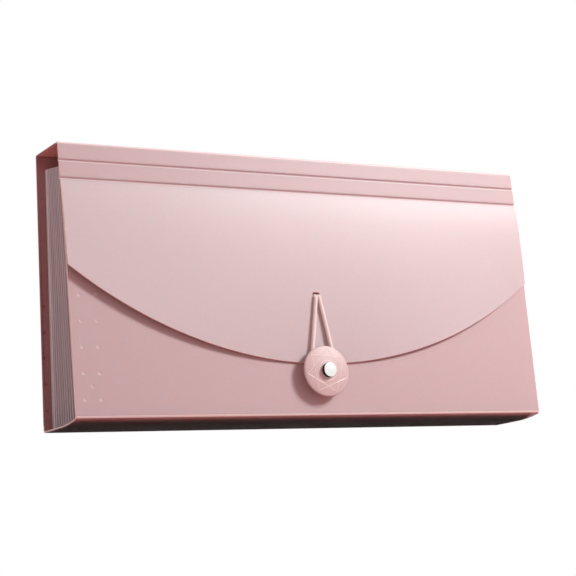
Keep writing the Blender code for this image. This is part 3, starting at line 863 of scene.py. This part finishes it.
front_outline = [skewed(x, z) for x, z in front_outline]
front_welds = [skewed(x, z) for x, z in weld_places(FRONT)]
bm = outline_surface(front_outline, on_front, front_outwards, front_welds)
front_sheet = make_sheet(
    "front_sheet", bm, sheet, welded_materials, at_front_fold, smooth_to=dimple_angle
)
settle(front_sheet, "front", "front_cover")
print("front cover with", len(front_welds), "weld points")

# %% [markdown]
# ## The film's end tabs
#
# Each end of the pleated film lies flat on the inside of a cover, under the welds. On the
# back cover the tab reaches nearly to the edge, where its welds can be seen from the side.
# The film there is nearly clear, so its melted points are what shows of it.

# %% End tabs
seat_gap = 0.1 * mm
film_thickness = 0.25 * mm
film_round = 0.05 * mm
tab_back = -sheet - seat_gap - film_thickness
tab_materials = [flat_film, flat_film, flat_film, melted_film]


def end_tab(name, side, body, hand, node):
    low, high = ((corner.x, corner.z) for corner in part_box(node))
    outline = rounded_box(low, high, corner_radius, corner_radius)
    welds = [(-hand * x, z) for x, z in weld_places(side)]

    def place(x, z, out):
        return on_cover(side, x, z, tab_back - out)

    inwards = -(back_outwards if side == BACK else front_outwards)
    bm = outline_surface(outline, place, inwards, welds)
    piece = make_sheet(
        name, bm, film_thickness, tab_materials, chamfer=film_round, smooth_to=dimple_angle
    )
    settle(piece, body, node)


for side, body in ((FRONT, "front"), (BACK, "back")):
    for hand, hand_name in ((-1, "left"), (1, "right")):
        end = f"{body}_{hand_name}"
        end_tab(f"film_tab_{end}", side, body, hand, f"end_tab_{end}")
print("four end tabs")

# %% [markdown]
# ## Dividers
#
# Twelve thin sheets part the pockets. Each has an index tab, which steps across from one
# divider to the next so that all of them can be seen from above. A divider's lean is its
# share of the cover's, because the pockets narrow evenly from the base to the top. Its foot
# follows the bow of the base.

# %% Divider sheets
divider_count = 12
divider_thickness = 0.35 * mm
tabs_across = 6
tab_share = 0.82
tab_slope = 3 * mm
tab_radius = 2 * mm
tab_steps = 5
tab_rise = 6 * mm
bellows_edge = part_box("divider_01")[1].x


def share_of(number):
    return 2 * number / (divider_count + 1) - 1


last_pivot = pivots[f"divider_{divider_count:02d}_hinge"]
pocket_end = last_pivot.y / share_of(divider_count) + math.tan(lean) * last_pivot.z


def pocket_wall(share, height):
    return share * (pocket_end - math.tan(lean) * height)


def divider(number):
    node = f"divider_{number:02d}"
    low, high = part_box(node)
    share = share_of(number)
    pitch = 2 * bellows_edge / tabs_across
    middle = pitch * ((number - 1) % tabs_across + 0.5) - bellows_edge
    half_tab = pitch * tab_share / 2
    edge = bellows_edge - film_round
    shoulder = high.z - tab_rise
    tab = []
    for hand in (1, -1):
        corner = Vector((middle + hand * (half_tab - tab_slope), high.z - film_round))
        outer = Vector((middle + hand * half_tab, shoulder))
        along = Vector((-hand, 0.0))
        bend = fillet(corner, (outer - corner).normalized(), along, tab_radius, tab_steps)
        tab += [outer, *bend][::hand]
    foot = low.z + base_rise(pocket_wall(share, low.z))
    outline = [(-edge, foot), (edge, foot), (edge, shoulder), *tab, (-edge, shoulder)]

    def place(x, z, out):
        return Vector((x, pocket_wall(share, z) - divider_thickness / 2 - out, z))

    surface = outline_surface(outline, place, Vector((0.0, -1.0, 0.0)))
    name = f"divider_sheet_{number:02d}"
    piece = make_sheet(name, surface, divider_thickness, divider_materials, chamfer=film_round)
    settle(piece, f"pocket_{number:02d}", node)


for number in range(1, divider_count + 1):
    divider(number)
print(divider_count, "dividers")

# %% [markdown]
# ## The pleated film
#
# One film zigzags down each side and under the pockets. It folds outwards round the edge of
# each divider and inwards between two. The profile of a fold is a short list of points, each
# with how far back it is and how deep in from the edge. Sweeping it down one side, under the
# pocket and up the other, with the depth always measured inwards, mitres the corners by
# itself. The film's upper edge falls a little towards the front.
#
# As the folder opens, the outward folds go with their dividers. So an outward fold is a cap
# that rides on its divider. The V between two caps stays where it is built.

# %% Film swept round the pockets
pleat_depth = 9 * mm
film_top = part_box("divider_01")[1].z
film_slope = 3.4 * mm
cap_half = 0.42 * mm
cap_leg = 0.5 * mm
valley_half = 0.22 * mm
leg_steps = 4
leg_bulge = 0.12 * mm
film_rows = 10


def film_piece(name, profile, foot, material=frosted_film):
    """Sweeps (share, shift, depth) points down one side, under, and up the other side."""
    bm = bmesh.new()
    rows = []
    levels = [row / film_rows for row in range(film_rows + 1)]
    for hand, downs in ((-1, levels), (1, levels[::-1])):
        for down in downs:
            row = []
            for share, shift, depth in profile:
                top = film_top - film_slope * (1 - share) / 2
                z = top + (foot + depth - top) * down
                y = pocket_wall(share, z) + shift
                row.append(bm.verts.new((hand * (bellows_edge - depth), y, z)))
            rows.append(row)
    bridge(bm, rows)
    piece = make_sheet(name, bm, film_thickness, [material] * 3, chamfer=film_round)
    return piece


def foot_of(number):
    near = min(max(number, 1), divider_count)
    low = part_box(f"divider_{near:02d}")[0].z
    return low + base_rise(pocket_wall(share_of(number), low))


for number in range(1, divider_count + 1):
    share = share_of(number)
    bend = [(share, shift, depth) for shift, depth in arc(0.0, 0.0, cap_half, 180, 360)]
    profile = [(share, -cap_half, cap_leg), *bend, (share, cap_half, cap_leg)]
    look = film_painted_light if number == divider_count else frosted_film
    cap = film_piece(f"film_cap_{number:02d}", profile, foot_of(number), look)
    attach(cap, f"pocket_{number:02d}")
print(divider_count, "outward folds")

# %% The inward folds
opening_bodies = {FRONT: "front", BACK: "back"}


def leg(first, last):
    """Points from one place in a fold to another, with a slight bulge between them."""
    points = []
    for step, (share, shift, depth) in enumerate(between(first, last, leg_steps), 1):
        bulge = leg_bulge * math.sin(math.pi * step / leg_steps)
        points.append((share, shift - bulge, depth))
    return points


def spread(piece):
    """Applies a fold's placement to its mesh, so it stays where it is built."""
    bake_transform(piece)


def pleat(number):
    node = f"pocket_gusset_{number:02d}"
    name = f"film_fold_{number:02d}"
    first = share_of(number - 1)
    last = share_of(number)
    middle = (first + last) / 2
    start = (first, cap_half, cap_leg) if number > 1 else (first, 0.0, 0.0)
    end = (last, -cap_half, cap_leg) if number <= divider_count else (last, 0.0, 0.0)
    near = (middle, -valley_half, pleat_depth - valley_half)
    far = (middle, valley_half, pleat_depth - valley_half)
    tip = (middle, 0.0, pleat_depth)
    near_side = [start, *leg(start, near), near]
    far_side = [far, *leg(far, end), end]
    foot = (foot_of(number - 1) + foot_of(number)) / 2
    if first * last > 0:
        look = film_painted_light if number > divider_count else frosted_film
        piece = film_piece(name, [*near_side, tip, *far_side], foot, look)
        spread(piece)
        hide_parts(node)
        return
    for side, profile in ((FRONT, [*near_side, tip]), (BACK, [tip, *far_side])):
        body = opening_bodies[side]
        piece = film_piece(f"{name}_{body}", profile, foot)
        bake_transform(piece)
        if side == FRONT:
            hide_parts(node)


for number in range(1, divider_count + 2):
    pleat(number)
print(divider_count + 1, "pockets")

# %% [markdown]
# ## The button
#
# The button is a turned disc, 25 mm across, with a well rounded edge and a domed face. The
# face carries thin raised lines, from the mould: a ring round the rivet, and a star of seven
# strokes, each joining two points two places apart on one circle. A disc is a profile turned
# about its axis, so one function turns any profile, and each stroke is a long low ridge.

# %% Turned pieces
turned_steps = 72
upwards = Vector((0.0, math.sin(lean), math.cos(lean)))
sideways = Vector((1.0, 0.0, 0.0))


def on_button(across, up, out):
    return button_centre + sideways * across + upwards * up + front_outwards * out


def turned(name, profile, material, closed=True):
    """Turns (radius, out) points about the button's axis. A radius of 0 is one point."""
    bm = bmesh.new()
    rings = []
    for radius, out in profile:
        points = circle(0.0, 0.0, radius, turned_steps) if radius else [(0.0, 0.0)]
        ring = [bm.verts.new(on_button(x, y, out)) for x, y in points]
        rings.append(ring if radius else ring * turned_steps)
    if closed:
        rings.append(rings[0])
    for inner, outer in zip(rings, rings[1:]):
        for i in range(turned_steps):
            corners = dict.fromkeys((inner[i - 1], outer[i - 1], outer[i], inner[i]))
            bm.faces.new(list(corners))
    return save(name, bm, [material])


button_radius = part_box("button_disc")[1].x
button_low = 4.3 * mm
button_face = 6.3 * mm
button_round = 0.75 * mm
button_dome = 1.25 * mm
dome_shares = (0.85, 0.7, 0.55, 0.4, 0.25)
under_round = 0.5 * mm
under_steps = 4
rim_angle = 84.0
rim_steps = 8
bore = 1.7 * mm


def face_at(radius):
    """How far out the button's domed face is."""
    return button_face + button_dome * (0.5 - (radius / button_radius) ** 2)


under_edge = button_radius - under_round
upper_edge = button_radius - button_round
dome_radii = [share * button_radius for share in dome_shares]
button_profile = [
    (bore, button_low),
    *arc(under_edge, button_low + under_round, under_round, -90, 0, under_steps),
    *arc(upper_edge, face_at(button_radius) - button_round, button_round, 0, rim_angle, rim_steps),
    *[(radius, face_at(radius)) for radius in (*dome_radii, bore)],
]
button_body = turned("button_body", button_profile, moulded_abs)
settle(button_body, "button", "button_disc")

# %% Raised lines
star_points = 7
star_skip = 2
star_reach = 0.90 * button_radius
star_first = 85.0
stroke_steps = 12
hub_ring = 0.39 * button_radius
line_width = 0.42 * mm
line_rise = 0.14 * mm
sink = 0.05 * mm
ridge_steps = 4
half_round = arc(0.0, 0.0, 1.0, 180, 0, ridge_steps)
ridge = [(side * line_width / 2, rise * line_rise) for side, rise in half_round]


def stroke(name, start, end):
    along = (end - start).normalized()
    across = Vector((-along.y, along.x))
    bm = bmesh.new()
    rows = []
    for place in straight(start, end, stroke_steps):
        row = []
        for side, rise in ridge:
            point = place + across * side
            row.append(bm.verts.new(on_button(point.x, point.y, face_at(point.length) - sink + rise)))
        rows.append(row)
    bridge(bm, rows, closed=True)
    bm.faces.new(rows[0])
    bm.faces.new(rows[-1])
    return save(name, bm, [raised_abs_painted_highlight])


star = arc(0.0, 0.0, star_reach, star_first, star_first + 360, star_points)
for number in range(star_points):
    start = Vector(star[number])
    end = Vector(star[(number + star_skip) % star_points])
    settle(stroke(f"star_line_{number + 1}", start, end), "button")

ring_profile = [(hub_ring + side, face_at(hub_ring) - sink + rise) for side, rise in ridge]
settle(turned("hub_ring", ring_profile[::-1], raised_abs_painted_highlight), "button")
print("button:", star_points, "strokes and a ring")

# %% [markdown]
# ## The rivet
#
# A semi-tubular rivet holds the button. Its head is a low cylinder on a thin flange, with a
# slightly crowned top and a rounded edge, so its top mirrors the bright room in one piece.
# Its side, a ring of its own, is painted near-black as a painted dark reflection. Behind the
# cover its tail is clinched over a washer. The washer, the spacer and the loop's toggle stay
# the CAD's solids, and only need their materials.

# %% The rivet, spacer and washer
head_radius = 3.8 * mm
head_top_radius = 3.45 * mm
head_rise = 2.1 * mm
flange = 0.4 * mm
head_round = 0.2 * mm
crown = 0.12 * mm
crown_share = 0.6
neck_inset = 0.1 * mm
side_inset = 0.3 * mm
shank_radius = 1.6 * mm
tail_radius = 2.6 * mm
tail_height = 0.4 * mm
tail_round = 0.15 * mm
washer_thickness = 0.5 * mm
tail_seat = -sheet - washer_thickness - 2 * seat_gap
tail_end = tail_seat - tail_height
head_seat = face_at(head_radius) + seat_gap
head_top = head_seat + head_rise
shoulder = head_top - crown - head_round
flange_top = head_seat + flange
neck = head_top_radius - neck_inset
inner_side = head_top_radius - side_inset

rivet_profile = [
    (0.0, tail_end),
    (tail_radius - tail_round, tail_end),
    (tail_radius, tail_end + tail_round),
    (tail_radius, tail_seat),
    (shank_radius, tail_seat),
    (shank_radius, head_seat),
    (head_radius, head_seat),
    (head_radius, flange_top),
    (neck, flange_top),
    (neck, shoulder),
    *arc(head_top_radius - head_round, shoulder, head_round, 0, 90),
    (head_top_radius * crown_share, head_top - crown * crown_share ** 2),
    (0.0, head_top),
]
side_profile = [
    (inner_side, flange_top),
    (head_radius - neck_inset, flange_top),
    (head_top_radius, shoulder),
    (inner_side, shoulder),
]
rivet = turned("rivet", rivet_profile, nickel_plate, closed=False)
settle(rivet, "front", "button_rivet")
settle(turned("rivet_side", side_profile, nickel_painted_dark_reflection), "front")

solids = {"button_spacer": moulded_abs, "rivet_washer": nickel_plate, "loop_toggle": moulded_abs}
for node, material in solids.items():
    materials = frame["nodes"][node].data.materials
    materials.clear()
    materials.append(material)
print("rivet head", 2 * head_radius / mm, "mm across")

# %% [markdown]
# ## The elastic loop
#
# Both ends of one cord come up through the slot and the loop hooks round the spacer under
# the button. It is held at both ends, so it isn't a free cord: its route follows the parts
# it touches. The tube carries coordinates in millimetres for the braid.

# %% The loop
loop_end_radius = 6.8 * mm
spacer_radius = 3.4 * mm
bend_at_hole = 1.2 * mm
cord_sides = 14
loop_arc_steps = 44
leg_points = 14
hook_level = flap_out + seat_gap + cord_radius
hole_level = flap_out + flap_shift(0.0, hole_height) + cord_radius
start_level = 0.9 * mm


def loop_half():
    """Half the loop, as (across, height, level) points from the slot to the lowest place."""
    end_centre = button_height - spacer_radius - cord_radius - seat_gap + loop_end_radius
    top = hole_height - cord_radius - bend_at_hole
    spread_down = top - end_centre
    distance = math.hypot(spread_down, leg_offset)
    wrap = math.asin(loop_end_radius / distance) - math.atan2(leg_offset, spread_down)
    hole_bend = arc(hole_height - bend_at_hole, hole_level - bend_at_hole, bend_at_hole, 0, 90)
    points = [(leg_offset, hole_height, start_level)]
    points += [(leg_offset, height, max(level, start_level)) for height, level in hole_bend]
    end = arc(0.0, end_centre, loop_end_radius, math.degrees(wrap), -90, loop_arc_steps)
    turning = [(x, height, hook_level) for x, height in end]
    return points + between(points[-1], turning[0], leg_points) + turning


def tube(name, route, radius, sides, material):
    """A round tube along a route, with its own millimetre coordinates for a woven pattern."""
    bm = bmesh.new()
    layer = bm.loops.layers.uv.new("braid_mm")
    across = front_outwards.cross(Vector((0.0, 0.0, 1.0))).normalized()
    rings = []
    travelled = []
    length = 0.0
    for index, point in enumerate(route):
        before = route[max(index - 1, 0)]
        after = route[min(index + 1, len(route) - 1)]
        along = (after - before).normalized()
        across = (across - along * across.dot(along)).normalized()
        other = along.cross(across)
        length += (point - before).length
        travelled.append(length)
        section = circle(0.0, 0.0, radius, sides)
        rings.append([bm.verts.new(point + across * x + other * y) for x, y in section])
    around = 2 * math.pi * radius / mm / sides
    for i, (first, last) in enumerate(zip(rings, rings[1:])):
        for side in range(sides):
            after_side = (side + 1) % sides
            face = bm.faces.new((first[side], first[after_side], last[after_side], last[side]))
            corners = ((i, side), (i, side + 1), (i + 1, side + 1), (i + 1, side))
            for corner, (ring, turn) in zip(face.loops, corners):
                corner[layer].uv = (travelled[ring] / mm, turn * around)
    bm.faces.new(rings[0])
    bm.faces.new(rings[-1])
    print(f"{name}: {length / mm:.0f} mm of cord")
    return save(name, bm, [material])


half = loop_half()
route = half + [(-x, height, level) for x, height, level in reversed(half[:-1])]
route = [on_front(x, height, level) for x, height, level in route]
elastic = tube("elastic_cord", route, cord_radius, cord_sides, woven_elastic)
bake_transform(elastic)
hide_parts("elastic_loop")

# %% [markdown]
# ## Floor, light and camera
#
# The photograph is taken from a little below the folder, against white. So the floor lets
# the camera see through it from underneath, and stays nearly solid for light: the base rests
# on it in the dark, and views from above show a pale floor with a soft shadow. It lets 7% of
# the light through, as a frosted table does, which keeps the underside from going black. The
# photograph's shadows are red, so the light that the floor sends back to the folder is
# pinker and dimmer than the floor looks.

# %% The floor
floor_reach = 3.0
floor_drop = 0.1 * mm
floor_clearness = 0.07

floor_material, tree = new_material("Pale studio floor")
light_path = add(tree, "LightPath").outputs
under_floor = add(tree, "NewGeometry").outputs["Backfacing"]
from_below = {0: light_path["Is Camera Ray"], 1: under_floor}
hidden = add(tree, "Math", from_below, operation="MULTIPLY").outputs[0]
clearness = add(tree, "Math", {0: hidden, 1: floor_clearness}, operation="MAXIMUM").outputs[0]
floor_colour = mixed(tree, light_path["Is Diffuse Ray"], "#f1f0ef", "#c8867f")
matt = add(tree, "BsdfPrincipled", {"Base Color": floor_colour, "Roughness": 0.7}).outputs[0]
clear = add(tree, "BsdfTransparent").outputs[0]
finish_material(floor_material, add(tree, "MixShader", {0: clearness, 1: matt, 2: clear}))

corners = ((-1, -1), (1, -1), (1, 1), (-1, 1))
floor_points = [(x * floor_reach, y * floor_reach, -floor_drop) for x, y in corners]
floor_mesh = bpy.data.meshes.new("studio_floor")
floor_mesh.from_pydata(floor_points, [], [range(4)])
floor_mesh.materials.append(floor_material)
floor = bpy.data.objects.new("studio_floor", floor_mesh)
bpy.context.scene.collection.objects.link(floor)
print("floor", 2 * floor_reach, "m wide, clear from below")

# %% [markdown]
# The room is white to the camera. As a light it is dimmer, and in reflections it is white
# only on the right and above, so that the rivet has a bright side and a dark one. The key
# lamp stands to the right, in front and above, where the button's shadow says it is. A weak
# one low on the left and a wide one at the left side keep the far end and the pleats from
# going grey, and one behind serves the views of the back. Those three would only show as odd
# squares in the rivet, so reflections leave them out.

# %% World and lamps
bright_way = (0.75, 0.0, 0.65)

scene = bpy.context.scene
world = bpy.data.worlds.new("White studio")
scene.world = world
world.use_nodes = True
tree = world.node_tree
tree.nodes.clear()
path = add(tree, "LightPath").outputs


def larger(first, second):
    return add(tree, "Math", {0: first, 1: second}, operation="MAXIMUM").outputs[0]


seen = larger(larger(path["Is Camera Ray"], path["Is Glossy Ray"]), path["Is Transmission Ray"])
room = add(tree, "Background", {"Color": linear("#fff8f6"), "Strength": 0.33}).outputs[0]
direction = add(tree, "TexCoord").outputs["Generated"]
sides = {0: direction, 1: bright_way}
bright_side = add(tree, "VectorMath", sides, operation="DOT_PRODUCT").outputs["Value"]
edge_of_bright = {"Value": bright_side, "From Min": -0.3, "From Max": 0.25}
bright_part = add(tree, "MapRange", edge_of_bright).outputs[0]
reflected = larger(path["Is Camera Ray"], bright_part)
white = add(tree, "Background", {"Color": linear("#ffffff"), "Strength": reflected}).outputs[0]
backdrop = add(tree, "MixShader", {0: seen, 1: room, 2: white})
add(tree, "OutputWorld", {"Surface": backdrop.outputs[0]})

aim = Vector((0.0, 0.0, folder_height / 2))


def lamp(name, direction, distance, size, power, colour, mirrored=False):
    data = bpy.data.lights.new(name, "AREA")
    data.shape = "SQUARE"
    data.size = size
    data.energy = power
    data.color = linear(colour)[:3]
    light = bpy.data.objects.new(name, data)
    towards = Vector(direction).normalized()
    light.location = aim + towards * distance
    light.visible_glossy = mirrored
    light.rotation_euler = towards.to_track_quat("Z", "Y").to_euler()
    scene.collection.objects.link(light)
    print(f"{name}: {power} W from {distance} m")


lamp("key_lamp", (0.60, -0.69, 0.52), 1.04, 0.26, 10.3, "#f8fffe", mirrored=True)
lamp("low_lamp", (-0.50, -0.86, 0.0), 1.20, 0.11, 0.8, "#ffe8e5")
lamp("side_lamp", (-1.0, -0.05, 0.10), 1.20, 0.50, 3.9, "#f4ffff")
lamp("back_lamp", (0.35, 0.85, 0.40), 1.50, 0.60, 7.0, "#fffcfa")

# %% [markdown]
# The camera was found by fitting it to the folder's corners in the photograph: it stands to
# the left and a little low, turned slightly, with a long lens.

# %% The camera
azimuth = math.radians(-30.658)
elevation = math.radians(-10.119)
roll = math.radians(-4.267)
distance = 0.867791
lens = 109.23
target = Vector((-4.386 * mm, 0.0, 68.164 * mm))
backwards = Vector((
    math.sin(azimuth) * math.cos(elevation),
    -math.cos(azimuth) * math.cos(elevation),
    math.sin(elevation),
))
level_right = Vector((0.0, 0.0, 1.0)).cross(backwards).normalized()
level_up = backwards.cross(level_right)
right = level_right * math.cos(roll) + level_up * math.sin(roll)
up = level_up * math.cos(roll) - level_right * math.sin(roll)
camera_data = bpy.data.cameras.new("photo_camera")
camera_data.lens = lens
camera_data.sensor_width = 36.0
camera_data.sensor_fit = "HORIZONTAL"
camera = bpy.data.objects.new("photo_camera", camera_data)
turn = Matrix((right, up, backwards)).transposed().to_4x4()
camera.matrix_world = Matrix.Translation(target + backwards * distance) @ turn
scene.collection.objects.link(camera)
scene.camera = camera
scene.view_settings.view_transform = "Standard"
print("camera", distance, "m from its target, lens", lens, "mm")
